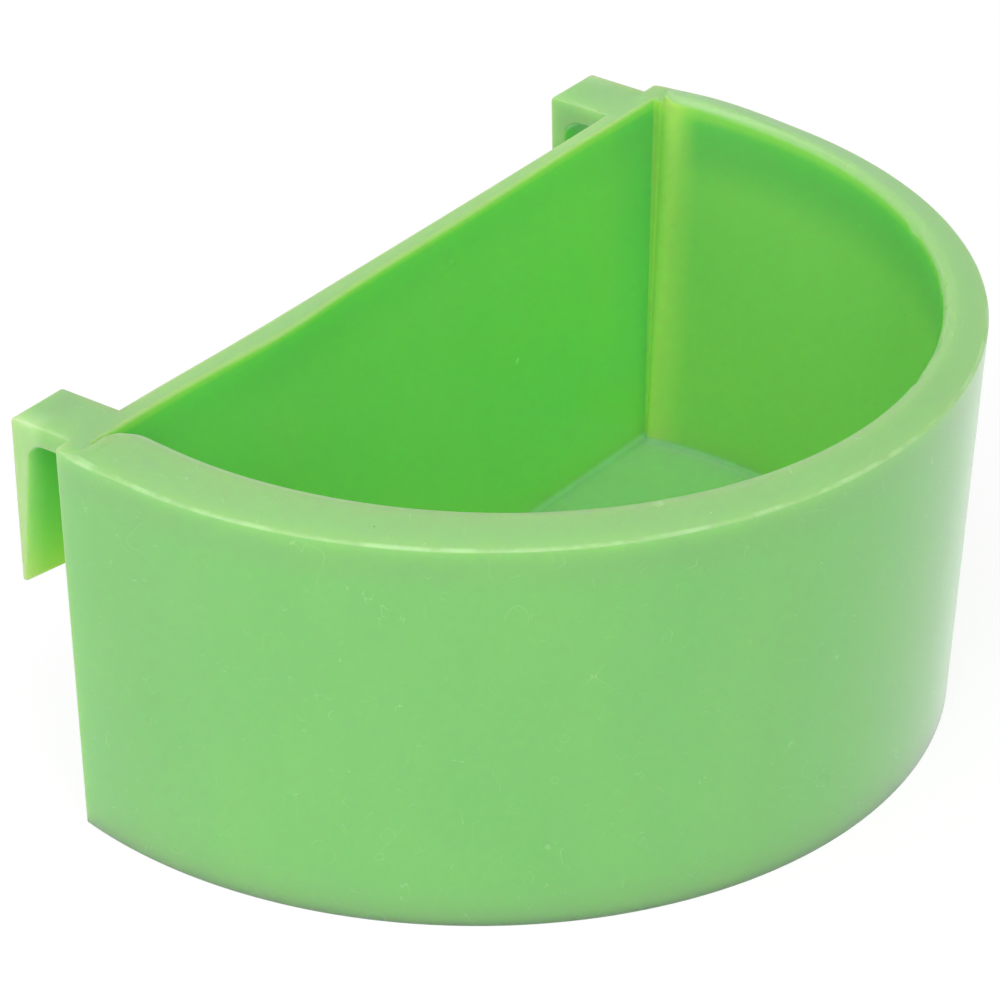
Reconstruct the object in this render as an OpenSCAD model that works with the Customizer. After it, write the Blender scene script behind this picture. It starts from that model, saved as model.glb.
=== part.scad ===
// Seed cup for a small cage: a D-shaped moulded cup with a thick curved wall,
// a thin flat back and two hooks that hang over a cage wire.
// X runs along the flat back, -Y is the curved front, +Y is the cage side.
// The origin is on the axis of the curved wall, in the plane of the base.
// All lengths are in millimetres and all angles in degrees.

/* [Cup] */
// Width of the flat back, corner to corner at the rim
back_width = 85; // [65:1:115]
// Distance from the axis of the curved wall back to the flat back
axis_depth = 10.35; // [6:0.05:15]
// Height of the rim's outer edge above the base
cup_height = 36.4; // [26:0.1:60]
// How far the curved wall draws in from the rim to the base
wall_draft = 1.35; // [0.6:0.05:2.5]
// How far the flat back draws in from the rim to the base
back_draft = 0.6; // [0.2:0.05:1.2]
// Radius round the bottom edge
base_round = 0.2; // [0.1:0.05:1.2]

/* [Walls] */
// Thickness of the curved wall at the sides, level with its axis
side_thickness = 4.9; // [3.8:0.05:6]
// Thickness of the curved wall at the front
front_thickness = 3.75; // [2.6:0.05:3.8]
// Thickness of the flat back at the rim
back_thickness = 1.75; // [1.4:0.05:3]
// How much thicker the flat back is at the base
back_thickening = 0.7; // [0:0.05:1.2]
// How far the cavity draws in from the rim to the base
cavity_draft = 0.35; // [0.1:0.05:1]
// Thickness of the floor
floor_thickness = 2.2; // [1.4:0.1:4]
// Wall that is left outside the tip of each inside corner
corner_thickness = 2.05; // [1.4:0.05:3]
// Turn of each inside corner's face away from square to the back
corner_turn = 42; // [34:1:56]

/* [Rim] */
// Height of the rim band below the rim's outer edge
rim_depth = 4; // [2.5:0.1:8]
// Slope of the rim's top, rising inwards
rim_slope = 20.5; // [12:0.5:26]
// Radius round the crest, where the rim's top turns down into the cavity
crest_round = 0.85; // [0.4:0.05:1.2]
// Distance over which the crest comes down beside the flat back, at each end
rim_run_out = 1.4; // [0.8:0.1:3]
// Distance from the flat back over which the rim's top is level with it
rim_level = 1.2; // [0.4:0.1:2]

/* [Hooks] */
// Width of each hook
hook_width = 6.25; // [4:0.05:12]
// Distance from a back corner to the outer side of its hook
hook_inset = 1.5; // [0.5:0.1:12]
// Distance from the flat back to the outer face of a hook
hook_reach = 6.25; // [5.2:0.05:12]
// Thickness of a hook's arm
arm_thickness = 1.9; // [1.2:0.05:3]
// Distance from the top of a hook down to the end of its tongue
hook_drop = 16; // [10:0.1:22]
// How much lower the end of a tongue is on the side nearer the cup's middle
tongue_slant = 0.8; // [0.2:0.05:1.5]
// Thickness of a tongue where it leaves the arm
tongue_thickness = 1.65; // [1.2:0.05:2.6]
// Thickness of a tongue at its tip
tip_thickness = 0.4; // [0.3:0.05:1.1]
// How far a tongue's outer face leans in towards the cup at its tip
tongue_lean = 0.6; // [0:0.05:1]
// Radius inside a hook, between the arm and the tongue
slot_round = 1.6; // [0.5:0.05:2]
// Radius on the outer edge of a hook
hook_round = 0.5; // [0.2:0.05:0.9]

/* [Gate mark] */
// Radius of the shallow dimple round the gate mark under the floor
dimple_radius = 3; // [2:0.1:4]
// Depth of the dimple
dimple_depth = 0.4; // [0.2:0.05:0.8]
// Radius of the stub that the gate leaves in the dimple
gate_radius = 0.8; // [0.5:0.05:1.4]
// Height of the stub, which stays below the base
gate_height = 0.25; // [0.1:0.05:0.35]

/* [Hidden] */
$fn = 96;
colour = [0.53, 0.78, 0.47];
overrun = 1;
arc_steps = 8;

// Points along an arc, for the round stretches of an outline
function arc(centre, radius, start, end) =
    [for (i = [0:arc_steps])
        let (a = start + (end - start) * i / arc_steps)
        centre + radius * [cos(a), sin(a)]];

// Outside of the curved wall, a cone about the Z axis
function cone_radius(z) = base_radius + wall_draft * z / cup_height;
rim_radius = sqrt(pow(back_width / 2, 2) + pow(axis_depth, 2));
base_radius = rim_radius - wall_draft;
draft_angle = atan(wall_draft / cup_height);

// Cavity, a cone whose axis is nearer the front than the outside's
cavity_radius = rim_radius - side_thickness;
cavity_shift = side_thickness - front_thickness;
cavity_base_radius = cavity_radius - cavity_draft;

// Faces of the flat back, which lean in towards the base
function outer_back(z) = axis_depth - back_draft * (1 - z / cup_height);
function inner_back(z) =
    outer_back(z) - back_thickness - back_thickening * (1 - z / cup_height);

// Rim: its ring turns about the cavity's axis, and is tipped forwards a little
// so that the outer edge comes out level
function rim_height(r) = cup_height + tan(rim_slope) * (rim_radius - r);
rim_base = cup_height - rim_depth;
rim_tip = asin(tan(rim_slope) * cavity_shift / (rim_radius - cavity_shift));
ring_inside = cavity_radius - cavity_draft * rim_depth / cup_height;
crest_radius = ring_inside + crest_round;
crest_centre = rim_height(crest_radius) - crest_round / cos(rim_slope);
crest_rise = crest_centre + crest_round - cup_height;
run_out_round = (pow(rim_run_out, 2) + pow(crest_rise, 2)) / (2 * crest_rise);

// Inside corners
corner_back = inner_back(cup_height);
corner_tip = sqrt(pow(rim_radius, 2) - pow(corner_back, 2)) - corner_thickness;

// Gate mark, in the middle of the base
gate_y = (axis_depth - base_radius) / 2;

// Hooks
hook_x = back_width / 2 - hook_inset - hook_width;
hook_face = axis_depth + hook_reach;
tongue_face = hook_face - tongue_thickness;
arm_base = cup_height - arm_thickness;
tongue_base = cup_height - hook_drop;
seam = tongue_face - slot_round;

// A solid of one outline in the YZ plane, from x = start to x = start + width
module along_x(start, width) {
    translate([start, 0, 0])
        rotate([90, 0, 90])
            linear_extrude(width)
                children();
}

// The drafted outside of the curved wall, carried on a little above the rim
module outer_cone() {
    top = cup_height + rim_depth;
    cylinder(h = top, r1 = base_radius, r2 = cone_radius(top));
}

// Everything between two heights, in front of the flat back's inner face
module before_back(low, high) {
    front = -rim_radius - overrun;
    along_x(front, -2 * front)
        polygon([
            [front, low],
            [inner_back(low), low],
            [inner_back(high), high],
            [front, high]
        ]);
}

// The hollow for the seed, with its smaller draft
module cavity() {
    translate([0, -cavity_shift, 0])
        cylinder(h = cup_height, r1 = cavity_base_radius, r2 = cavity_radius);
}

// The block that clears the right inside corner: its face runs forwards from
// the tip, where it meets the flat back, until it comes out in the cavity
module corner_block() {
    reach = 2 * side_thickness;
    translate([corner_tip, corner_back, cup_height])
        rotate([0, draft_angle, 0])
            rotate([0, 0, 180 - corner_turn])
                translate([0, -reach, -cup_height])
                    cube([reach, 2 * reach, cup_height + rim_depth]);
}

module corner_blocks() {
    corner_block();
    mirror([1, 0, 0]) corner_block();
}

// A solid ring about the cavity's axis with the rim's sloping top and round crest
module rim_ring() {
    outside = rim_radius + overrun;
    translate([0, -cavity_shift, rim_base])
        rotate([rim_tip, 0, 0])
            translate([0, 0, -rim_base])
                rotate_extrude()
                    polygon(concat(
                        [[ring_inside, rim_base - overrun]],
                        arc([crest_radius, crest_centre], crest_round, 180, 90 - rim_slope),
                        [[outside, rim_height(outside)], [outside, rim_base - overrun]]
                    ));
}

// Everything in front of the flat back, up to the level ends of the rim's top
// and the round ends of its crest
module before_run_out() {
    front = -rim_radius - overrun;
    top = cup_height + rim_depth;
    lift = crest_rise - run_out_round;
    centre = [corner_back - rim_level - rim_run_out, cup_height + lift];
    along_x(front, -2 * front)
        polygon(concat(
            [[front, rim_base], [inner_back(rim_base), rim_base]],
            [[corner_back, cup_height]],
            arc(centre, run_out_round, atan2(-lift, rim_run_out), 90),
            [[centre.x, top], [front, top]]
        ));
}

// Floor of the cup, with a round bottom edge and the gate mark under it
module floor() {
    color(colour)
        difference() {
            intersection() {
                floor_disc();
                floor_back();
            }
            translate([0, gate_y, -overrun]) gate_dimple();
        }
}

// The floor's curved side, turned about the Z axis
module floor_disc() {
    centre = [cone_radius(base_round) - base_round, base_round];
    rotate_extrude()
        polygon(concat(
            [[0, 0]],
            arc(centre, base_round, -90, 0),
            [[cone_radius(floor_thickness), floor_thickness], [0, floor_thickness]]
        ));
}

// The floor's straight side, below the flat back
module floor_back() {
    front = -rim_radius - overrun;
    centre = [outer_back(base_round) - base_round, base_round];
    along_x(front, -2 * front)
        polygon(concat(
            [[front, 0]],
            arc(centre, base_round, -90, 0),
            [[outer_back(floor_thickness), floor_thickness], [front, floor_thickness]]
        ));
}

// The dimple to cut, less the stub that stays in it
module gate_dimple() {
    difference() {
        cylinder(h = overrun + dimple_depth, r = dimple_radius);
        translate([0, 0, overrun + dimple_depth - gate_height])
            cylinder(h = gate_height + overrun, r = gate_radius);
    }
}

// Curved wall, from the floor up to the rim band
module front_wall() {
    color(colour)
        difference() {
            intersection() {
                outer_cone();
                before_back(floor_thickness, rim_base);
            }
            cavity();
            corner_blocks();
        }
}

// Thick rim of the curved wall, whose top rises inwards to a round crest and
// comes down to the flat back at both ends
module front_rim() {
    color(colour)
        difference() {
            intersection() {
                outer_cone();
                before_run_out();
                rim_ring();
            }
            corner_blocks();
        }
}

// Flat back, from corner to corner, with its top level with the rim's outer edge
module back_wall() {
    color(colour)
        intersection() {
            outer_cone();
            along_x(-rim_radius, 2 * rim_radius)
                polygon([
                    [inner_back(floor_thickness), floor_thickness],
                    [outer_back(floor_thickness), floor_thickness],
                    [outer_back(cup_height), cup_height],
                    [inner_back(cup_height), cup_height]
                ]);
        }
}

// Arm of the right hook, straight back from the top of the flat back
module hook_arm() {
    color(colour)
        along_x(hook_x, hook_width)
            polygon([
                [outer_back(arm_base), arm_base],
                [seam, arm_base],
                [seam, cup_height],
                [outer_back(cup_height), cup_height]
            ]);
}

// Tongue of the right hook: it turns down from the arm with a round inside
// corner, gets thinner towards its tip and ends in a slanted edge
module hook_tongue() {
    tip_face = hook_face - tongue_lean;
    outer_centre = [hook_face - hook_round, cup_height - hook_round];
    inner_centre = [seam, arm_base - slot_round];
    color(colour)
        intersection() {
            along_x(hook_x, hook_width)
                polygon(concat(
                    [[seam, cup_height]],
                    arc(outer_centre, hook_round, 90, 0),
                    [[tip_face, tongue_base], [tip_face - tip_thickness, tongue_base]],
                    arc(inner_centre, slot_round, 0, 90)
                ));
            slanted_end();
        }
}

// The right hook as seen from behind: straight sides and a slanted lower end
module slanted_end() {
    top = cup_height + overrun;
    outside = hook_x + hook_width;
    translate([0, hook_face + overrun, 0])
        rotate([90, 0, 0])
            linear_extrude(hook_reach + 2 * overrun)
                polygon([
                    [hook_x, tongue_base],
                    [outside, tongue_base + tongue_slant],
                    [outside, top],
                    [hook_x, top]
                ]);
}

module left_hook_arm() { mirror([1, 0, 0]) hook_arm(); }
module right_hook_arm() { hook_arm(); }
module left_hook_tongue() { mirror([1, 0, 0]) hook_tongue(); }
module right_hook_tongue() { hook_tongue(); }

floor();
front_wall();
front_rim();
back_wall();
left_hook_arm();
right_hook_arm();
left_hook_tongue();
right_hook_tongue();
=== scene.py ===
"""The looks of the seed cup: one moulding in satin, slightly translucent light green plastic."""

import math
from functools import partial

import bmesh
import bpy
import numpy as np
from mathutils import Matrix, Vector


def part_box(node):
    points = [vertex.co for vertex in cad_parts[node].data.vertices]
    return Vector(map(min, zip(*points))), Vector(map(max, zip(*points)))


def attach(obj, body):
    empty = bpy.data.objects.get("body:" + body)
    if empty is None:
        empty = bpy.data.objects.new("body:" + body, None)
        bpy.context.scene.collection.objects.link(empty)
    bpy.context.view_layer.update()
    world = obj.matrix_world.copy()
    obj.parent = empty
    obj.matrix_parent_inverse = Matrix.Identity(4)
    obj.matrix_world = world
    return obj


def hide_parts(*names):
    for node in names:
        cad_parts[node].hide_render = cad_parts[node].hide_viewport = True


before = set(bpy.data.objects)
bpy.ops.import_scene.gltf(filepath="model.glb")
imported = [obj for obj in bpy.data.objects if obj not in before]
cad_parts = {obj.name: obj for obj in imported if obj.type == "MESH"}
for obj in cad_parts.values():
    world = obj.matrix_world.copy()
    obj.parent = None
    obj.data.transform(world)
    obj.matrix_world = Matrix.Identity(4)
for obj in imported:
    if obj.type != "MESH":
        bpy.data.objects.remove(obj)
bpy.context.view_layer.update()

MM = 0.001


def box_mm(node):
    """Lowest and highest corner of a CAD node, in millimetres."""
    low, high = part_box(node)
    return low / MM, high / MM


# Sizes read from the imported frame, in millimetres
RIM_HEIGHT = box_mm("back_wall")[1].z
BACK_Y = box_mm("back_wall")[1].y
FLOOR_HEIGHT = box_mm("floor")[1].z
RIM_RADIUS = box_mm("front_rim")[1].x

# Walls, in millimetres, as the CAD has them
WALL_DRAFT = 1.35
BACK_DRAFT = 0.6
SIDE_THICKNESS = 4.9
FRONT_THICKNESS = 3.75
BACK_THICKNESS = 1.75
BACK_THICKENING = 0.7
CAVITY_DRAFT = 0.35
CORNER_THICKNESS = 2.05
CORNER_TURN = math.radians(42)
RIM_SLOPE = math.radians(20.5)
RIM_LEVEL = 1.2
RIM_RUN_OUT = 1.4
CREST_ROUND = 0.85
HOOK_ARM = 1.9
HOOK_TONGUE = 1.65
HOOK_TIP = 0.4
HOOK_LEAN = 0.6
HOOK_END_SLANT = 0.8
SLOT_ROUND = 1.6
HOOK_ROUND = 0.5
DIMPLE_RADIUS = 3.0
DIMPLE_DEPTH = 0.4
GATE_RADIUS = 0.8
GATE_HEIGHT = 0.25

# Small edge radii that only the finish shows, in millimetres
BASE_ROUND = 0.18
OUTER_EDGE_ROUND = 0.3
BACK_TOP_ROUND = 0.5
TIP_ROUND = 0.5
TIP_REACH = 3.0
SIDE_CORNER_ROUND = 0.35
FLOOR_ROUND = 0.8
HOOK_EDGE_ROUND = 0.35
HOOK_ROOT = 0.7

# How much of the length of an inside corner's face its two rounded ends take
WEDGE_TIP_SHARE = 0.27
WEDGE_START_SHARE = 0.45

# The moulding's slight warp, in millimetres: the ends of the flat back stand up, most at the right,
# the curved wall leans out at its left end, and the flat back is thicker left of its middle
MIDDLE_SAG = 0.06
END_LIFT = 0.3
RIGHT_LIFT = 0.1
LEFT_LIFT = 0.16
LEFT_LIFT_PLACE = -31
LEFT_LIFT_REACH = 9
LEFT_LEAN = 0.35
BACK_SWELL = 0.5
BACK_SWELL_PLACE = -16
BACK_SWELL_REACH = 8
BACK_HOLLOW = 0.28
BACK_HOLLOW_PLACE = 27
BACK_HOLLOW_REACH = 12

# Nicks in the crest's inner edge at the right: angle round the cup in degrees, and width and depth in
# millimetres
NICKS = ((-39, 0.8, 0.3), (-54, 0.7, 0.35), (-60, 0.5, 0.25), (-70, 0.9, 0.3), (-79, 0.6, 0.2))

# Steps of the mesh
FRONT_STEPS = 150
WEDGE_STEPS = 32
CORNER_STEPS = 12
BACK_STEPS = 70
WALL_STEPS = 26
SLOPE_STEPS = 8
ROUND_STEPS = 6
DISC_STEPS = 14

# Edges where the surface turns by more than this are crisp
SHARP_TURN = math.radians(32)

# The photograph's camera: angles in degrees, lengths in millimetres
CAMERA_AZIMUTH = -54.66
CAMERA_ELEVATION = 30.14
CAMERA_ROLL = 0.92
CAMERA_DISTANCE = 403.7
CAMERA_TARGET = Vector((-11.07, -10.90, 24.49))
CAMERA_LENS = 173.7
SENSOR_WIDTH = 36.0

# Greens of the plastic; many are painted light and shade, as noted at each
WALL_GREEN = (0.225, 0.55, 0.168)
# Painted highlight: the outer wall's right side paler, for the reflection of the white surround at grazing
# angles
RIGHT_WALL_HIGHLIGHT_GREEN = (0.29, 0.63, 0.235)
# Painted light: the cup's inner faces a lighter, more saturated green, for the light bounced round the
# cavity
INSIDE_LIT_GREEN = (0.205, 0.6, 0.145)
# Painted light: the cavity's curved wall a lighter green than the flat back's inner face
ROUND_LIT_GREEN = (0.26, 0.62, 0.14)
FLOOR_GREEN = (0.28, 0.72, 0.23)
# Painted highlight on the rim's top, and painted light on the hooks' side faces: a paler green
PALE_LIT_GREEN = (0.275, 0.5, 0.195)
# Painted light: the rim lighter and greener towards the right
RIGHT_RIM_LIT_GREEN = (0.29, 0.56, 0.2)
GLOW_GREEN = (0.42, 0.68, 0.15)
LIT_GREEN = (0.52, 0.8, 0.2)
# Painted glow: the tongues paler towards their outer sides, for light coming through the thin hook
TONGUE_SIDE_GLOW_GREEN = (0.45, 0.68, 0.32)
# A pale green for real scratches and dust, and for painted highlights on the rim's outer edge, the crest
# and the cavity floor's edge
WEAR_AND_HIGHLIGHT_GREEN = (0.5, 0.76, 0.44)
# Deeper green: painted shade under the rim inside the cup, the darker very bottom of the outside, and the
# deeper cloud marks
DEEP_GREEN = (0.15, 0.52, 0.13)
YELLOWER_GREEN = (0.27, 0.6, 0.15)
# Painted shade: the outer wall just under the rim's edge duller and less green, against the glow of light
# through the rim
RIDGE_GREEN = (0.25, 0.46, 0.18)
TONGUE_MIDDLE_GREEN = (0.27, 0.55, 0.17)
BLUER_GREEN = (0.13, 0.56, 0.19)
SPECK_GREEN = (0.03, 0.12, 0.05)

# The coats of colour over the wall's green, from the first to the last: zone, strength, green; many are
# painted light and shade
COATS = (
    # Painted highlight on the outer wall's right side
    ("wall_right_highlight", 1.0, RIGHT_WALL_HIGHLIGHT_GREEN),
    # Painted light inside the cup
    ("inside", 1.0, INSIDE_LIT_GREEN),
    # Painted light on the cavity's curved wall
    ("round_inside", 1.0, ROUND_LIT_GREEN),
    ("floor", 1.0, FLOOR_GREEN),
    # Painted highlight on the rim's top
    ("top", 1.0, PALE_LIT_GREEN),
    # Painted light on the rim's right side
    ("rim_right", 1.0, RIGHT_RIM_LIT_GREEN),
    # Painted shade: the cavity's walls darker under the rim
    ("under_rim", 0.6, DEEP_GREEN),
    ("round_under_rim", 0.55, DEEP_GREEN),
    ("round_low", 0.2, GLOW_GREEN),
    ("back_right", 0.5, BLUER_GREEN),
    ("back_low", 0.5, BLUER_GREEN),
    ("pocket", 1.0, GLOW_GREEN),
    ("wedge", 1.0, LIT_GREEN),
    ("under_edge", 0.4, GLOW_GREEN),
    # Painted light on the hooks' side faces
    ("hook_side", 1.0, PALE_LIT_GREEN),
    ("tongue_middle", 0.4, TONGUE_MIDDLE_GREEN),
    # Painted glow on the tongues' outer sides
    ("tongue_side", 0.7, TONGUE_SIDE_GLOW_GREEN),
    ("lip", 0.35, GLOW_GREEN),
    # Painted shade under the rim's outer edge
    ("ridge", 0.6, RIDGE_GREEN),
    # Painted highlight: a pale line where the cavity's wall meets its floor
    ("foot", 0.3, WEAR_AND_HIGHLIGHT_GREEN),
    # Partly wear and partly a painted highlight: the rim's outer edge paler in patches
    ("worn_and_highlit_edge", 0.35, WEAR_AND_HIGHLIGHT_GREEN),
    # Painted highlight along the crest's inner round
    ("crest", 0.2, WEAR_AND_HIGHLIGHT_GREEN),
    ("low", 0.35, DEEP_GREEN),
)

# Marks of moulding and handling: cells or waves in a millimetre, and how strongly each mark shows
WEAR_SCALE = 0.35
CLOUD_SCALE = (0.11, 0.11, 0.05)
CLOUD_YELLOWER = 0.6
CLOUD_DEEPER = 0.3
SCRATCHES = ((0.16, 0.25), (0.5, 0.3))
SCRATCHED_FROM = 0.6
DUST_SCALE = 0.45
DUST_SIZE = 0.035
DUST_SHARE = 0.3
SPECK_SCALE = 0.13
SPECK_SIZE = 0.012
SPECK_SHARE = 0.12
MARK_STRENGTH = 0.7

# The plastic's body and surface, with lengths in millimetres
PLASTIC_IOR = 1.49
LIGHT_DEPTH = 10
LIGHT_DEPTH_BY_COLOUR = (0.5, 1.0, 0.2)
TONGUE_DEPTH_LOSS = 0.35
SHEEN = 0.4
SHEEN_ROUGHNESS = 0.4
SMOOTHEST = 0.18
HAZE_ROUGHNESS = 0.12
RUBBED_ROUGHNESS = 0.2
HAZE_SCALE = 0.2
GRAIN_SCALE = 0.9
GRAIN_HEIGHT = 0.004
WAVE_SCALE = (0.09, 0.09, 0.04)
WAVE_HEIGHT = 0.06

# How far the light that comes through an inside corner reaches along its face, in millimetres
POCKET_GLOW = 6.5

# The studio's floor: half its side in metres, how far it lies under the base in millimetres, and its looks
FLOOR_REACH = 3.0
FLOOR_DROP = 0.02
PAPER_GREY = (0.8, 0.8, 0.8, 1)
SHADOW_GREY = (0.18, 0.18, 0.18, 1)
PAPER_GLOW = 0.84

# Studio light: the even surround, and softboxes as (azimuth, elevation, side in metres, strength)
SURROUND = 0.45
SOFTBOXES = {
    "front_light": (-55, 40, 0.8, 2.6),
    "high_light": (-55, 68, 0.6, 1.9),
    "left_light": (-125, 35, 0.7, 1.35),
}


def cone_radius(z):
    return RIM_RADIUS - WALL_DRAFT * (1 - z / RIM_HEIGHT)


def back_outside(z):
    return BACK_Y - BACK_DRAFT * (1 - z / RIM_HEIGHT)


def back_inside(z):
    return back_outside(z) - BACK_THICKNESS - BACK_THICKENING * (1 - z / RIM_HEIGHT)


CORNER_BACK = back_inside(RIM_HEIGHT)
CAVITY_SHIFT = SIDE_THICKNESS - FRONT_THICKNESS
DRAFT_ANGLE = math.atan(WALL_DRAFT / RIM_HEIGHT)
CORNER_TIP = math.sqrt(RIM_RADIUS**2 - CORNER_BACK**2) - CORNER_THICKNESS
GATE_Y = (BACK_Y - cone_radius(0)) / 2


def spaced(start, end, steps, last=True):
    """Points on a straight line from start to end, one for each step, and the end too with last."""
    t = np.linspace(0, 1, steps + 1)[: None if last else -1, None]
    return start + (end - start) * t


def arc(centre, radius, start, end, steps, last=True):
    angle = np.linspace(start, end, steps + 1)[: None if last else -1]
    return centre + radius * np.stack([np.cos(angle), np.sin(angle)], 1)


def rounded(before, corner, after, steps, last=True):
    """A corner as a smooth curve from before to after."""
    t = np.linspace(0, 1, steps + 1)[: None if last else -1, None]
    return (1 - t) ** 2 * before + 2 * t * (1 - t) * corner + t**2 * after


def eased(t):
    """0 to 1 with soft ends."""
    t = np.clip(t, 0, 1)
    return t * t * (3 - 2 * t)


def towards(start, end, distance):
    return start + (end - start) * distance / np.linalg.norm(end - start)


def fillet(before, corner, after, steps):
    """A corner as a round arc between two points equally far from it, without the arc's last point."""
    inwards = (before + after) / 2 - corner
    half = np.linalg.norm(before - after) / 2
    depth = np.linalg.norm(inwards)
    centre = corner + inwards * (depth**2 + half**2) / depth**2
    radius = np.linalg.norm(before - centre)
    start = math.atan2(*(before - centre)[::-1])
    turn = math.atan2(*(after - centre)[::-1]) - start
    return arc(centre, radius, start, start + (turn + math.pi) % math.tau - math.pi, steps, last=False)


def mirrored(half):
    """A closed loop from its right half, which runs from the front's middle to the back's."""
    left = half[-2:0:-1] * [-1, 1]
    return np.concatenate([half, left])


def wedge_ends(z):
    """Where an inside corner's face starts in the cavity, and its tip at the flat back."""
    tip_x = CORNER_TIP - math.tan(DRAFT_ANGLE) * (RIM_HEIGHT - z)
    forwards = np.array([-math.sin(CORNER_TURN), -math.cos(CORNER_TURN)])
    tip = np.array([tip_x, CORNER_BACK]) + forwards * (CORNER_BACK - back_inside(z)) / math.cos(CORNER_TURN)
    centre = np.array([0, -CAVITY_SHIFT])
    radius = RIM_RADIUS - SIDE_THICKNESS - CAVITY_DRAFT * (1 - z / RIM_HEIGHT)
    along = np.dot(tip - centre, forwards)
    reach = -along - math.sqrt(along**2 - np.dot(tip - centre, tip - centre) + radius**2)
    return tip + forwards * reach, tip, centre, radius


def outer_loop(z):
    """The moulding's outline in plan at height z."""
    start = wedge_ends(z)[0]
    radius = cone_radius(z)
    back = back_outside(z)
    corner_angle = math.asin(back / radius)
    wedge_angle = math.atan2(start[1], start[0])
    round_angle = corner_angle - SIDE_CORNER_ROUND / radius
    corner = radius * np.array([math.cos(corner_angle), math.sin(corner_angle)])
    before = radius * np.array([math.cos(round_angle), math.sin(round_angle)])
    middle = np.array([0, back])
    after = towards(corner, middle, SIDE_CORNER_ROUND)
    return mirrored(np.concatenate([
        arc(0, radius, -math.pi / 2, wedge_angle, FRONT_STEPS, last=False),
        arc(0, radius, wedge_angle, round_angle, WEDGE_STEPS, last=False),
        rounded(before, corner, after, CORNER_STEPS, last=False),
        spaced(after, middle, BACK_STEPS),
    ]))


def inner_loop(z):
    """The cavity's outline in plan at height z, with its corners drawn out along the flat back."""
    start, tip, centre, radius = wedge_ends(z)
    start_angle = math.atan2(start[1] - centre[1], start[0])
    length = np.linalg.norm(tip - start)
    bend_angle = start_angle - WEDGE_START_SHARE * length / radius
    bend = centre + radius * np.array([math.cos(bend_angle), math.sin(bend_angle)])
    bend_end = towards(start, tip, WEDGE_START_SHARE * length)
    middle = np.array([0, back_inside(z)])
    before = towards(tip, start, WEDGE_TIP_SHARE * length)
    after = towards(tip, middle, WEDGE_TIP_SHARE * length)
    return mirrored(np.concatenate([
        arc(centre, radius, -math.pi / 2, bend_angle, FRONT_STEPS, last=False),
        rounded(bend, start, bend_end, WEDGE_STEPS // 2, last=False),
        spaced(bend_end, before, WEDGE_STEPS // 2, last=False),
        fillet(before, tip, after, CORNER_STEPS),
        spaced(after, middle, BACK_STEPS),
    ]))


def loop_table(loop):
    """A loop, straight from base to rim, that can be read at another height for each of its points."""
    low = loop(0)
    high = loop(RIM_HEIGHT)
    return lambda z: low + (high - low) * (np.asarray(z) / RIM_HEIGHT)[..., None]


def rim_rise(edge, wall):
    """How far the crest stands over the rim's outer edge: by the slope, and none beside the flat back."""
    thickness = np.linalg.norm(edge - wall, axis=1)
    rise = math.tan(RIM_SLOPE) * (thickness - CREST_ROUND) - CREST_ROUND * (1 / math.cos(RIM_SLOPE) - 1)
    start = wedge_ends(RIM_HEIGHT)[0]
    full = rise[np.argmin(np.linalg.norm(wall - start, axis=1))]
    round_radius = (RIM_RUN_OUT**2 + full**2) / (2 * full)
    to_go = np.clip(RIM_RUN_OUT + RIM_LEVEL - (CORNER_BACK - wall[:, 1]), 0, RIM_RUN_OUT)
    run_out = (np.sqrt(round_radius**2 - to_go**2) - (round_radius - full)) / full
    return np.where(wall[:, 1] > start[1], full, rise) * run_out


def with_height(points, z):
    return np.column_stack([points, np.broadcast_to(z, len(points))])


def shrunk(loop, centre, amount):
    """A loop drawn in towards centre by about amount."""
    return centre + (loop - centre) * (1 - amount / cone_radius(0))


def base_rings(outer):
    """The underside, from the gate mark's middle out to the round bottom edge."""
    gate = np.array([0, GATE_Y])
    rim = outer(np.zeros(1))
    ray = (rim - gate) / np.linalg.norm(rim - gate, axis=1)[:, None]
    steps = [
        (GATE_RADIUS / 2, DIMPLE_DEPTH - GATE_HEIGHT),
        (GATE_RADIUS * 0.9, DIMPLE_DEPTH - GATE_HEIGHT),
        (GATE_RADIUS, DIMPLE_DEPTH),
        (DIMPLE_RADIUS * 0.9, DIMPLE_DEPTH),
        (DIMPLE_RADIUS, DIMPLE_DEPTH * 0.8),
        (DIMPLE_RADIUS, 0),
    ]
    rings = [with_height(gate + ray * radius, z) for radius, z in steps]
    edge = shrunk(rim, gate, BASE_ROUND)
    dimple = gate + ray * DIMPLE_RADIUS
    for t in np.linspace(0, 1, DISC_STEPS + 1)[1:]:
        rings.append(with_height(dimple + (edge - dimple) * t, 0))
    for angle in np.linspace(0, math.pi / 2, ROUND_STEPS + 1)[1:]:
        z = BASE_ROUND * (1 - math.cos(angle))
        rings.append(with_height(shrunk(outer(z), gate, BASE_ROUND * (1 - math.sin(angle))), z))
    return rings


def wall_rings(outer):
    """The outside of the wall, up to where the rim's outer edge starts to turn."""
    heights = np.linspace(BASE_ROUND, RIM_HEIGHT - OUTER_EDGE_ROUND, WALL_STEPS + 1)[1:]
    return [with_height(outer(z), z) for z in heights]


def nick_depth(points):
    """How deep the nicks cut into the crest's inner edge at points in plan."""
    angle = np.arctan2(points[:, 1], points[:, 0])
    around = RIM_RADIUS - SIDE_THICKNESS
    return sum(depth * np.exp(-(((angle - math.radians(place)) * around / width) ** 2))
               for place, width, depth in NICKS)


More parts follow.
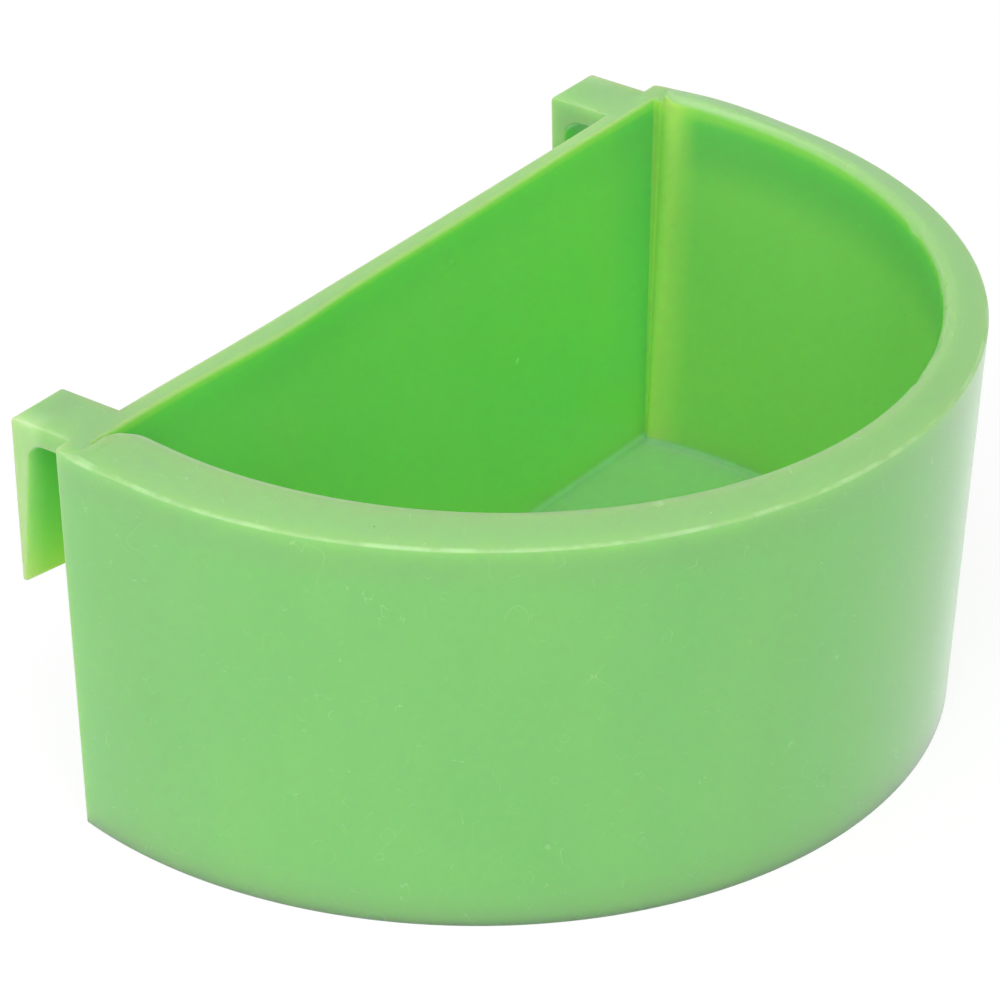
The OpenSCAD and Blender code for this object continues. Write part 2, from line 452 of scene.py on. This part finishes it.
def rim_rings(outer, inner):
    """The rim's top, from its outer edge up the slope and round the crest into the cavity."""
    edge = outer(RIM_HEIGHT)
    crest_z = np.full(len(edge), RIM_HEIGHT)
    for _ in range(3):
        wall = inner(crest_z)
        rise = rim_rise(edge, wall)
        from_tip = np.linalg.norm(np.abs(wall) * [1, 0] + wall * [0, 1] - [CORNER_TIP, CORNER_BACK], axis=1)
        largest = BACK_TOP_ROUND + (CREST_ROUND - BACK_TOP_ROUND) * rise / rise.max()
        radius = TIP_ROUND + (largest - TIP_ROUND) * eased(from_tip / TIP_REACH)
        crest_z = RIM_HEIGHT + rise - radius
    width = np.linalg.norm(edge - wall, axis=1)
    out = (edge - wall) / width[:, None]
    run = width - OUTER_EDGE_ROUND - radius
    slope = np.arctan2(rise - radius, run) + np.arcsin(radius / np.hypot(run, rise - radius))
    start = edge - out * OUTER_EDGE_ROUND
    turn_end = wall + out * (radius * (1 + np.sin(slope)))[:, None]
    turn_top = crest_z + radius * np.cos(slope)
    corner = with_height(edge, RIM_HEIGHT - OUTER_EDGE_ROUND * np.tan(slope))
    below = with_height(outer(RIM_HEIGHT - OUTER_EDGE_ROUND), RIM_HEIGHT - OUTER_EDGE_ROUND)
    beside = with_height(start, RIM_HEIGHT)
    nick = nick_depth(wall)
    rings = []
    for t in np.linspace(0, 1, ROUND_STEPS + 1)[1:]:
        rings.append((1 - t) ** 2 * below + 2 * t * (1 - t) * corner + t**2 * beside)
    for t in np.linspace(0, 1, SLOPE_STEPS + 1)[1:]:
        rings.append(with_height(start + (turn_end - start) * t, RIM_HEIGHT + (turn_top - RIM_HEIGHT) * t))
    for share in np.linspace(1, 0, 2 * ROUND_STEPS + 1)[1:]:
        angle = (math.pi / 2 - slope) * share
        points = wall + out * (radius * (1 - np.cos(angle)) + nick * np.sin(2 * angle))[:, None]
        rings.append(with_height(points, crest_z + radius * np.sin(angle)))
    return rings, crest_z


def cavity_rings(inner, crest_z):
    """The cavity's wall, its rounded turn into the floor and the floor."""
    middle = np.array([0, GATE_Y])
    foot = FLOOR_HEIGHT + FLOOR_ROUND
    rings = []
    for t in np.linspace(0, 1, WALL_STEPS + 1)[1:]:
        z = crest_z + (foot - crest_z) * t
        rings.append(with_height(inner(z), z))
    for angle in np.linspace(0, math.pi / 2, ROUND_STEPS + 1)[1:]:
        z = foot - FLOOR_ROUND * math.sin(angle)
        rings.append(with_height(shrunk(inner(z), middle, FLOOR_ROUND * (1 - math.cos(angle))), z))
    edge = rings[-1][:, :2]
    for t in np.linspace(0, 1, DISC_STEPS + 1)[1:-1]:
        rings.append(with_height(edge + (middle - edge) * t, FLOOR_HEIGHT))
    return rings


def lift(x, y):
    """How far the warp lifts the rim over a place in plan."""
    ends = np.abs(x) / RIM_RADIUS
    whole = END_LIFT * ends**4 + RIGHT_LIFT * x / RIM_RADIUS - MIDDLE_SAG
    left = LEFT_LIFT * np.exp(-(((x - LEFT_LIFT_PLACE) / LEFT_LIFT_REACH) ** 2))
    return whole * eased(y / BACK_Y + 0.5) + left * eased(3 * y / BACK_Y - 2)


def warped(points):
    """Points of the moulding after its slight warp, which grows from the base to the rim."""
    x, y, z = points.T
    share = np.clip(z / RIM_HEIGHT, 0, 1)
    lean = LEFT_LEAN * eased((-x - RIM_RADIUS / 2) * 2 / RIM_RADIUS) * eased(y / BACK_Y * 1.3 - 0.2)
    swell = BACK_SWELL * np.exp(-(((x - BACK_SWELL_PLACE) / BACK_SWELL_REACH) ** 2))
    hollow = BACK_HOLLOW * np.exp(-(((x - BACK_HOLLOW_PLACE) / BACK_HOLLOW_REACH) ** 2))
    inside = np.clip((BACK_Y - y) / BACK_THICKNESS, 0, 1) * eased(y / BACK_Y * 4 - 2)
    return points + np.stack([-lean * share, (hollow - swell) * inside * share, lift(x, y) * share], 1)


def mesh_from_rings(name, rings, first, last):
    """A closed mesh of quads between rings, with a fan to a point at each end."""
    count = len(rings[0])
    points = np.concatenate([*rings, [first], [last]]) * MM
    faces = []
    for row in range(len(rings) - 1):
        for i in range(count):
            j = (i + 1) % count
            low, high = row * count, (row + 1) * count
            faces.append((low + i, low + j, high + j, high + i))
    first_index = len(rings) * count
    top = (len(rings) - 1) * count
    for i in range(count):
        j = (i + 1) % count
        faces.append((first_index, j, i))
        faces.append((first_index + 1, top + i, top + j))
    mesh = bpy.data.meshes.new(name)
    mesh.from_pydata(points.tolist(), [], faces)
    return mesh


def linked(name, mesh):
    thing = bpy.data.objects.new(name, mesh)
    bpy.context.scene.collection.objects.link(thing)
    return thing


def make_cup():
    """The cup without its hooks, as one closed skin."""
    outer = loop_table(outer_loop)
    inner = loop_table(inner_loop)
    rim, crest_z = rim_rings(outer, inner)
    rings = [warped(r) for r in base_rings(outer) + wall_rings(outer) + rim + cavity_rings(inner, crest_z)]
    first = (0, GATE_Y, DIMPLE_DEPTH - GATE_HEIGHT)
    last = (0, GATE_Y, FLOOR_HEIGHT)
    return linked("cup_moulding", mesh_from_rings("cup_moulding", rings, first, last))


def hook_outline(tongue):
    """A hook's outline in the YZ plane, from inside the flat back to the tongue's tip and back."""
    face = tongue[1].y
    tip = tongue[0].z
    inside = face - HOOK_TONGUE
    arm_base = RIM_HEIGHT - HOOK_ARM
    root = back_outside(arm_base) - HOOK_ROOT
    outer_centre = np.array([face - HOOK_ROUND, RIM_HEIGHT - HOOK_ROUND])
    inner_centre = np.array([inside - SLOT_ROUND, arm_base - SLOT_ROUND])
    tip_face = face - HOOK_LEAN
    return np.concatenate([
        [[root, RIM_HEIGHT]],
        arc(outer_centre, HOOK_ROUND, math.pi / 2, 0, ROUND_STEPS),
        [[tip_face, tip], [tip_face - HOOK_TIP, tip]],
        arc(inner_centre, SLOT_ROUND, 0, math.pi / 2, 2 * ROUND_STEPS),
        [[root, arm_base]],
    ])


def make_hook(side):
    """One hook, reaching a little into the flat back, with its edges softened and its end slanted."""
    tongue = box_mm(side + "_hook_tongue")
    outline = hook_outline(tongue)
    at_end = outline[:, 1] < tongue[0].z + SLOT_ROUND
    up = lift(tongue[0].x + HOOK_ARM, BACK_Y)
    shape = bmesh.new()
    ends = []
    for x in (tongue[0].x, tongue[1].x):
        is_outer = abs(x) > abs(tongue[0].x + tongue[1].x) / 2
        z = outline[:, 1] + up + (HOOK_END_SLANT * at_end if is_outer else 0)
        ends.append([shape.verts.new(Vector((x, y, high)) * MM) for y, high in zip(outline[:, 0], z)])
    flat_sides = [shape.faces.new(end) for end in ends]
    for i in range(len(outline)):
        shape.faces.new((ends[0][i - 1], ends[0][i], ends[1][i], ends[1][i - 1]))
    bmesh.ops.recalc_face_normals(shape, faces=shape.faces)
    edges = {e for f in flat_sides for e in f.edges if max(v.co.y for v in e.verts) > BACK_Y * MM}
    bmesh.ops.bevel(shape, geom=list(edges), offset=HOOK_EDGE_ROUND * MM, segments=3, profile=0.5,
                    affect="EDGES", clamp_overlap=True)
    mesh = bpy.data.meshes.new(side + "_hook")
    shape.to_mesh(mesh)
    shape.free()
    return linked(side + "_hook", mesh)


def fuse(body, tool):
    """body with tool joined on, as one closed skin."""
    join = body.modifiers.new("join", "BOOLEAN")
    join.operation = "UNION"
    join.solver = "EXACT"
    join.object = tool
    bpy.context.view_layer.update()
    whole = bpy.data.meshes.new_from_object(body.evaluated_get(bpy.context.evaluated_depsgraph_get()))
    body.modifiers.clear()
    body.data = whole
    bpy.data.objects.remove(tool)


def make_moulding():
    cup = make_cup()
    for side in ("left", "right"):
        fuse(cup, make_hook(side))
    cup.data.shade_smooth()
    cup.data.set_sharp_from_angle(angle=SHARP_TURN)
    return cup


def value_of(tree, operation, *values):
    """A Math node on sockets and numbers."""
    node = tree.nodes.new("ShaderNodeMath")
    node.operation = operation
    for socket, value in zip(node.inputs, values):
        if isinstance(value, (int, float)):
            socket.default_value = value
        else:
            tree.links.new(value, socket)
    return node.outputs["Value"]


def product(tree, first, *others):
    for other in others:
        first = value_of(tree, "MULTIPLY", first, other)
    return first


def inverse(tree, mask):
    return value_of(tree, "SUBTRACT", 1, mask)


def soft_step(tree, value, start, end):
    """0 at start and 1 at end, with soft ends."""
    node = tree.nodes.new("ShaderNodeMapRange")
    node.interpolation_type = "SMOOTHSTEP"
    node.inputs["From Min"].default_value = start
    node.inputs["From Max"].default_value = end
    tree.links.new(value, node.inputs["Value"])
    return node.outputs["Result"]


def painted(tree, under, mask, colour):
    """A colour, or a socket with one, with another laid over it where the mask is."""
    node = tree.nodes.new("ShaderNodeMix")
    node.data_type = "RGBA"
    for name, value in (("A_Color", under), ("B_Color", colour)):
        socket = next(s for s in node.inputs if s.identifier == name)
        if isinstance(value, tuple):
            socket.default_value = (*value, 1)
        else:
            tree.links.new(value, socket)
    tree.links.new(mask, node.inputs["Factor"])
    return next(s for s in node.outputs if s.identifier == "Result_Color")


def parted(tree, vector):
    """The X, Y and Z of a vector."""
    node = tree.nodes.new("ShaderNodeSeparateXYZ")
    tree.links.new(vector, node.inputs["Vector"])
    return node.outputs["X"], node.outputs["Y"], node.outputs["Z"]


def stretched(tree, vector, scale):
    """A vector scaled by a number, or by one for each axis."""
    node = tree.nodes.new("ShaderNodeVectorMath")
    node.operation = "MULTIPLY"
    node.inputs[1].default_value = scale if isinstance(scale, tuple) else (scale,) * 3
    tree.links.new(vector, node.inputs[0])
    return node.outputs["Vector"]


def noise(tree, vector, detail=2.0, distortion=0.0):
    """Cloudy noise with a period of about one unit of the vector."""
    node = tree.nodes.new("ShaderNodeTexNoise")
    node.inputs["Scale"].default_value = 1.0
    node.inputs["Detail"].default_value = detail
    node.inputs["Distortion"].default_value = distortion
    tree.links.new(vector, node.inputs["Vector"])
    return node.outputs["Fac"]


def specks(tree, vector, size, share):
    """Small round specks of a size, in a share of the cells of one unit."""
    node = tree.nodes.new("ShaderNodeTexVoronoi")
    node.inputs["Scale"].default_value = 1.0
    tree.links.new(vector, node.inputs["Vector"])
    chosen = parted(tree, node.outputs["Color"])[0]
    return product(tree, soft_step(tree, node.outputs["Distance"], size, size / 2),
                   value_of(tree, "LESS_THAN", chosen, share))


def scratches(tree, vector, width, where):
    """Thin curved lines, kept to the places where the second noise is high."""
    line = value_of(tree, "ABSOLUTE", value_of(tree, "SUBTRACT", noise(tree, vector, 1.0), 0.5))
    place = noise(tree, stretched(tree, vector, (1.7, 1.9, 1.6)), 0.0)
    return product(tree, soft_step(tree, line, width, 0), soft_step(tree, place, where, where + 0.05))


def distance(tree, along, across):
    """How far a point is from the origin of its two offsets."""
    squares = value_of(tree, "ADD", product(tree, along, along), product(tree, across, across))
    return value_of(tree, "POWER", squares, 0.5)


def zones(tree, place, normal):
    """Masks of the zones that look different, from the place in millimetres and the normal."""
    step, both, outside_of = partial(soft_step, tree), partial(product, tree), partial(inverse, tree)
    x, y, z = parted(tree, place)
    normal_x, normal_y, normal_z = parted(tree, normal)
    aside = value_of(tree, "ABSOLUTE", x)
    outwards = value_of(tree, "ADD", both(x, normal_x), both(y, normal_y))
    upwards = step(normal_z, 0.2, 0.5)
    turned = step(value_of(tree, "ABSOLUTE", normal_x), 0.15, 0.5)
    from_axis = distance(tree, x, y)
    from_corner = distance(tree, value_of(tree, "SUBTRACT", aside, CORNER_TIP),
                           value_of(tree, "SUBTRACT", y, CORNER_BACK))
    top = both(upwards, step(z, RIM_HEIGHT - 4, RIM_HEIGHT - 2))
    inside = both(step(outwards, 1, -4), outside_of(upwards))
    round_inside = both(inside, step(y, CORNER_BACK - 0.3, CORNER_BACK - 1.5))
    back_face = both(inside, outside_of(round_inside))
    pocket = both(inside, turned, step(from_corner, POCKET_GLOW, POCKET_GLOW / 2))
    under_rim = both(inside, step(z, RIM_HEIGHT - 7, RIM_HEIGHT - 1))
    edge = both(step(from_axis, RIM_RADIUS - 0.4, RIM_RADIUS - 0.2),
                step(z, RIM_HEIGHT - 0.3, RIM_HEIGHT - 0.1))
    wear = step(noise(tree, stretched(tree, place, WEAR_SCALE), 4.0), 0.4, 0.62)
    tongue = step(y, BACK_Y + 2.5, BACK_Y + 4)
    return {
        # Painted highlight: where the outer wall's right side is paler
        "wall_right_highlight": both(step(outwards, 10, 30), step(x, 8, 16)),
        # Painted shade: the outer wall just under the rim's edge
        "ridge": both(outside_of(inside), outside_of(upwards), step(z, RIM_HEIGHT - 5, RIM_HEIGHT - 1),
                      step(y, BACK_Y, BACK_Y - 1)),
        "low": step(z, 1.3, 0.2),
        "top": top,
        "rim_right": both(top, step(x, 0, 35)),
        # Partly wear and partly a painted highlight along the rim's outer edge
        "worn_and_highlit_edge": both(edge, wear),
        # Painted highlight: the crest's inner round
        "crest": both(step(z, RIM_HEIGHT + 1.25, RIM_HEIGHT + 1.4), step(outwards, 2, -4),
                      step(normal_z, 0.3, 0.6)),
        "lip": both(step(normal_y, -0.25, -0.7), step(z, RIM_HEIGHT - 1, RIM_HEIGHT - 0.5),
                    step(y, BACK_Y - 2.6, BACK_Y - 2.4)),
        "inside": inside,
        "under_rim": under_rim,
        "under_edge": both(inside, step(z, RIM_HEIGHT - 0.3, RIM_HEIGHT + 0.6)),
        "round_inside": round_inside,
        "round_under_rim": both(under_rim, round_inside),
        "round_low": both(round_inside, step(z, 24, 8)),
        "back_right": both(back_face, step(x, 31, 39)),
        "back_low": both(back_face, step(x, -5, 25), step(z, 22, 8)),
        "pocket": pocket,
        "wedge": both(pocket, step(normal_y, -0.5, 0.6)),
        "floor": both(upwards, step(z, RIM_HEIGHT - 4, FLOOR_HEIGHT)),
        # Painted highlight: the foot of the cavity's wall
        "foot": both(step(outwards, -1, -6), step(z, FLOOR_HEIGHT + 0.8, FLOOR_HEIGHT + 0.3)),
        "hook_side": both(step(y, BACK_Y, BACK_Y + 0.3), turned),
        "tongue": tongue,
        "tongue_middle": both(tongue, step(z, 35, 30), step(aside, 41, 38.5)),
        "tongue_side": both(tongue, step(aside, 38.0, 41.2)),
    }


def marked(tree, place, colour, inside):
    """A colour with cloudy flow marks, faint scratches outside the cup, pale dust and dark specks."""
    cloud = noise(tree, stretched(tree, place, CLOUD_SCALE), 3.0)
    yellower = product(tree, soft_step(tree, cloud, 0.45, 1.1), CLOUD_YELLOWER)
    deeper = product(tree, soft_step(tree, cloud, 0.5, 0.0), CLOUD_DEEPER)
    colour = painted(tree, colour, yellower, YELLOWER_GREEN)
    colour = painted(tree, colour, deeper, DEEP_GREEN)
    outside = inverse(tree, inside)
    for scale, strength in SCRATCHES:
        long_place = stretched(tree, place, (scale, scale, scale * 0.75))
        lines = scratches(tree, long_place, scale / 90, SCRATCHED_FROM)
        colour = painted(tree, colour, product(tree, lines, outside, strength), WEAR_AND_HIGHLIGHT_GREEN)
    dust = specks(tree, stretched(tree, place, DUST_SCALE), DUST_SIZE, DUST_SHARE)
    colour = painted(tree, colour, product(tree, dust, MARK_STRENGTH), WEAR_AND_HIGHLIGHT_GREEN)
    dark = specks(tree, stretched(tree, place, SPECK_SCALE), SPECK_SIZE, SPECK_SHARE)
    return painted(tree, colour, product(tree, dark, MARK_STRENGTH), SPECK_GREEN)


def plastic_colour(tree, place, zone):
    """The moulding's green, with painted light and shade: a painted highlight on the rim, painted light
    inside the cup and on the right, a painted glow where light gets through thin places, painted shade
    under the rim.
    """
    colour = WALL_GREEN
    for name, strength, green in COATS:
        colour = painted(tree, colour, product(tree, zone[name], strength), green)
    return marked(tree, place, colour, zone["inside"])


def plastic_bump(tree, place):
    """The fine grain of the surface and the long soft waves of the mould."""
    grain = noise(tree, stretched(tree, place, GRAIN_SCALE), 3.0)
    wave = noise(tree, stretched(tree, place, WAVE_SCALE), 1.0)
    bump = tree.nodes.new("ShaderNodeBump")
    bump.inputs["Strength"].default_value = 1.0
    bump.inputs["Distance"].default_value = MM
    height = value_of(tree, "ADD", product(tree, grain, GRAIN_HEIGHT), product(tree, wave, WAVE_HEIGHT))
    tree.links.new(height, bump.inputs["Height"])
    return bump.outputs["Normal"]


def cup_plastic():
    """Satin light green plastic that lets a little light through, with marks of moulding and handling, and
    painted light and shade in its green.
    """
    material = bpy.data.materials.new("cup_plastic")
    material.use_nodes = True
    tree = material.node_tree
    shader = tree.nodes["Principled BSDF"]
    shader.inputs["IOR"].default_value = PLASTIC_IOR
    shader.inputs["Subsurface Weight"].default_value = 1.0
    shader.inputs["Subsurface Radius"].default_value = LIGHT_DEPTH_BY_COLOUR
    shader.inputs["Sheen Roughness"].default_value = SHEEN_ROUGHNESS
    source = tree.nodes.new("ShaderNodeTexCoord")
    place = stretched(tree, source.outputs["Object"], 1 / MM)
    zone = zones(tree, place, source.outputs["Normal"])
    depth = inverse(tree, product(tree, zone["tongue"], TONGUE_DEPTH_LOSS))
    sheen = product(tree, inverse(tree, zone["inside"]), inverse(tree, zone["top"]), SHEEN)
    haze = noise(tree, stretched(tree, place, HAZE_SCALE), 3.0)
    rough = value_of(tree, "ADD", product(tree, haze, HAZE_ROUGHNESS), SMOOTHEST)
    rubbed = product(tree, zone["top"], RUBBED_ROUGHNESS)
    tree.links.new(plastic_colour(tree, place, zone), shader.inputs["Base Color"])
    tree.links.new(product(tree, depth, LIGHT_DEPTH * MM), shader.inputs["Subsurface Scale"])
    tree.links.new(sheen, shader.inputs["Sheen Weight"])
    tree.links.new(value_of(tree, "ADD", rough, rubbed), shader.inputs["Roughness"])
    tree.links.new(plastic_bump(tree, place), shader.inputs["Normal"])
    return material


def seen_rays(tree):
    """1 for what the camera sees, straight or in a reflection."""
    path = tree.nodes.new("ShaderNodeLightPath")
    return value_of(tree, "MAXIMUM", path.outputs["Is Camera Ray"], path.outputs["Is Glossy Ray"])


def floor_material():
    """A white floor, as bright as the background where it is seen, and clear from below."""
    material = bpy.data.materials.new("studio_floor")
    material.use_nodes = True
    nodes = material.node_tree.nodes
    links = material.node_tree.links
    nodes.clear()
    paper = nodes.new("ShaderNodeBsdfDiffuse")
    paper.inputs["Color"].default_value = PAPER_GREY
    shadow_paper = nodes.new("ShaderNodeBsdfDiffuse")
    shadow_paper.inputs["Color"].default_value = SHADOW_GREY
    glow = nodes.new("ShaderNodeEmission")
    glow.inputs["Strength"].default_value = PAPER_GLOW
    seen = nodes.new("ShaderNodeAddShader")
    mix = nodes.new("ShaderNodeMixShader")
    side = nodes.new("ShaderNodeNewGeometry")
    clear = nodes.new("ShaderNodeBsdfTransparent")
    whole = nodes.new("ShaderNodeMixShader")
    out = nodes.new("ShaderNodeOutputMaterial")
    links.new(shadow_paper.outputs["BSDF"], seen.inputs[0])
    links.new(glow.outputs["Emission"], seen.inputs[1])
    links.new(seen_rays(material.node_tree), mix.inputs["Fac"])
    links.new(paper.outputs["BSDF"], mix.inputs[1])
    links.new(seen.outputs["Shader"], mix.inputs[2])
    links.new(side.outputs["Backfacing"], whole.inputs["Fac"])
    links.new(mix.outputs["Shader"], whole.inputs[1])
    links.new(clear.outputs["BSDF"], whole.inputs[2])
    links.new(whole.outputs["Shader"], out.inputs["Surface"])
    return material


def make_floor():
    """The floor round the cup, far larger than the camera's view and a hair under the base."""
    mesh = bpy.data.meshes.new("studio_floor")
    quarters = ((-1, -1), (1, -1), (1, 1), (-1, 1))
    corners = [(x * FLOOR_REACH, y * FLOOR_REACH, -FLOOR_DROP * MM) for x, y in quarters]
    mesh.from_pydata(corners, [], [(0, 1, 2, 3)])
    floor = linked("studio_floor", mesh)
    floor.data.materials.append(floor_material())


def light_world():
    """An even white surround, which lights the cup from all sides and is the background."""
    world = bpy.data.worlds.new("studio")
    world.use_nodes = True
    nodes = world.node_tree.nodes
    links = world.node_tree.links
    soft = nodes["Background"]
    soft.inputs["Color"].default_value = (1, 1, 1, 1)
    soft.inputs["Strength"].default_value = SURROUND
    white = nodes.new("ShaderNodeBackground")
    white.inputs["Color"].default_value = (1, 1, 1, 1)
    white.inputs["Strength"].default_value = 1.0
    mix = nodes.new("ShaderNodeMixShader")
    links.new(seen_rays(world.node_tree), mix.inputs["Fac"])
    links.new(soft.outputs["Background"], mix.inputs[1])
    links.new(white.outputs["Background"], mix.inputs[2])
    links.new(mix.outputs["Shader"], nodes["World Output"].inputs["Surface"])
    bpy.context.scene.world = world


def direction(azimuth, elevation):
    """The way out from the cup: azimuth 0 is straight ahead of its curved front."""
    turn, tilt = math.radians(azimuth), math.radians(elevation)
    return Vector((math.sin(turn) * math.cos(tilt), -math.cos(turn) * math.cos(tilt), math.sin(tilt)))


def soft_light(name, azimuth, elevation, size, strength):
    """A square softbox a metre from the cup, turned to it."""
    away = direction(azimuth, elevation)
    data = bpy.data.lights.new(name, "AREA")
    data.shape = "SQUARE"
    data.size = size
    data.energy = strength * math.pi * size**2
    lamp = bpy.data.objects.new(name, data)
    bpy.context.scene.collection.objects.link(lamp)
    lamp.location = Vector((0, 0, RIM_HEIGHT * MM)) + away
    lamp.rotation_euler = away.to_track_quat("Z", "Y").to_euler()


def make_camera():
    """The camera of the photograph."""
    azimuth, roll = math.radians(CAMERA_AZIMUTH), math.radians(CAMERA_ROLL)
    back = direction(CAMERA_AZIMUTH, CAMERA_ELEVATION)
    level = Vector((math.cos(azimuth), math.sin(azimuth), 0))
    upright = back.cross(level)
    right = level * math.cos(roll) + upright * math.sin(roll)
    up = upright * math.cos(roll) - level * math.sin(roll)
    data = bpy.data.cameras.new("camera")
    data.sensor_width = SENSOR_WIDTH
    data.lens = CAMERA_LENS
    data.clip_start = 0.01
    camera = bpy.data.objects.new("camera", data)
    bpy.context.scene.collection.objects.link(camera)
    place = Matrix((right, up, back)).transposed().to_4x4()
    place.translation = (CAMERA_TARGET + back * CAMERA_DISTANCE) * MM
    camera.matrix_world = place
    bpy.context.scene.camera = camera


moulding = make_moulding()
moulding.data.materials.clear()
moulding.data.materials.append(cup_plastic())
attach(moulding, "root")
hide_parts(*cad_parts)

make_floor()
light_world()
for name, (azimuth, elevation, size, strength) in SOFTBOXES.items():
    soft_light(name, azimuth, elevation, size, strength)
make_camera()
bpy.context.scene.view_settings.view_transform = "Standard"
